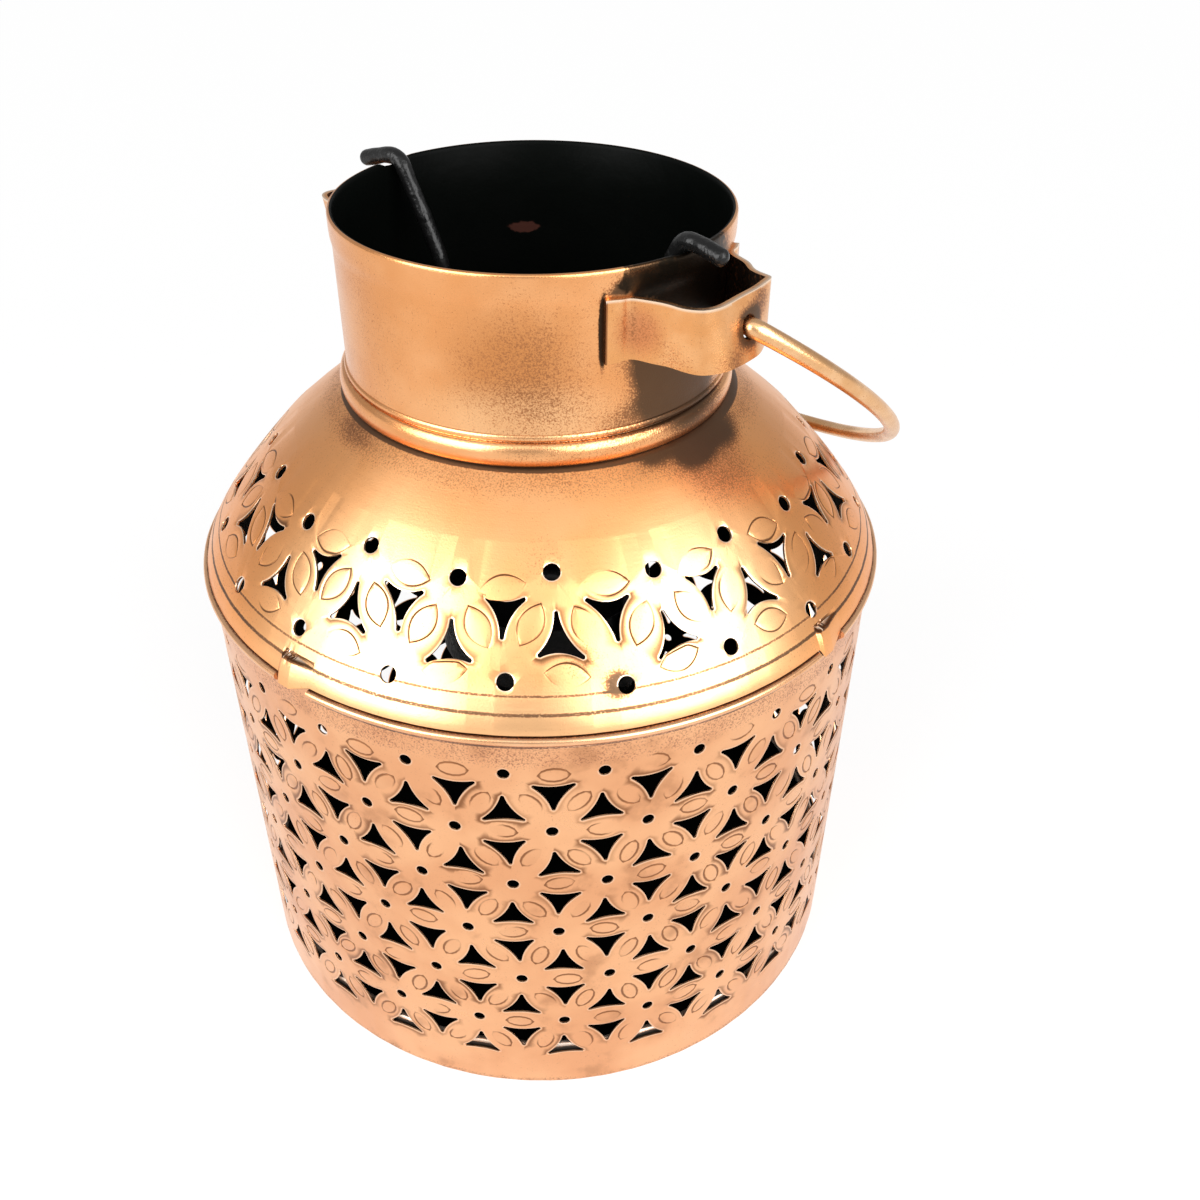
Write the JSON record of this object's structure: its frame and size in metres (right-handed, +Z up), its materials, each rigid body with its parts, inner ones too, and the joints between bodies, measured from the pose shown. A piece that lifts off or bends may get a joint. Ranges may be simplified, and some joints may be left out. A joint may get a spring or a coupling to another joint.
{
  "type": "pierced tealight lantern",
  "caption": "Milk-can shaped pierced copper tealight lantern with a star-cut drum and shoulder, plain neck, strap ears, swinging wire bail and a lift-out wire hanger with a candle cup.",
  "frame": {"origin": "middle of the base, on the surface that the lantern stands on", "axes": "+Z up along the drum's axis, -Y towards the viewer in the picture, +X to the viewer's right"},
  "size_m": [0.1271, 0.1275, 0.152],
  "materials": {
    "copper_drum": "satin copper plate with brown patina",
    "copper_base": "satin copper plate",
    "gold_shoulder": "polished amber plate with dark speckle",
    "gold_neck": "satin amber plate, black inside",
    "gold_ear": "satin amber plate",
    "gold_wire": "polished amber plate",
    "black_wire": "gloss black paint",
    "black_cup": "satin black paint"
  },
  "bodies": {
    "lantern": {"drum_shell": "copper_drum", "base_disc": "copper_base", "shoulder_dome": "gold_shoulder", "neck_tube": "gold_neck", "ear_right": "gold_ear", "ear_left": "gold_ear"},
    "bail": {"bail": "gold_wire"},
    "hanger": {"wire_hanger": "black_wire", "candle_cup": "black_cup"}
  },
  "joints": [
    {"name": "bail_swing", "type": "hinge", "parent": "lantern", "child": "bail", "pos_m": [-0.001, -0.00107, 0.13985], "axis": [0.7314, -0.682, 0], "range_deg": [0, 255]},
    {"name": "hanger_lift", "type": "slide", "parent": "lantern", "child": "hanger", "axis": [0, 0, 1], "range_m": [0, 0.095]}
  ]
}
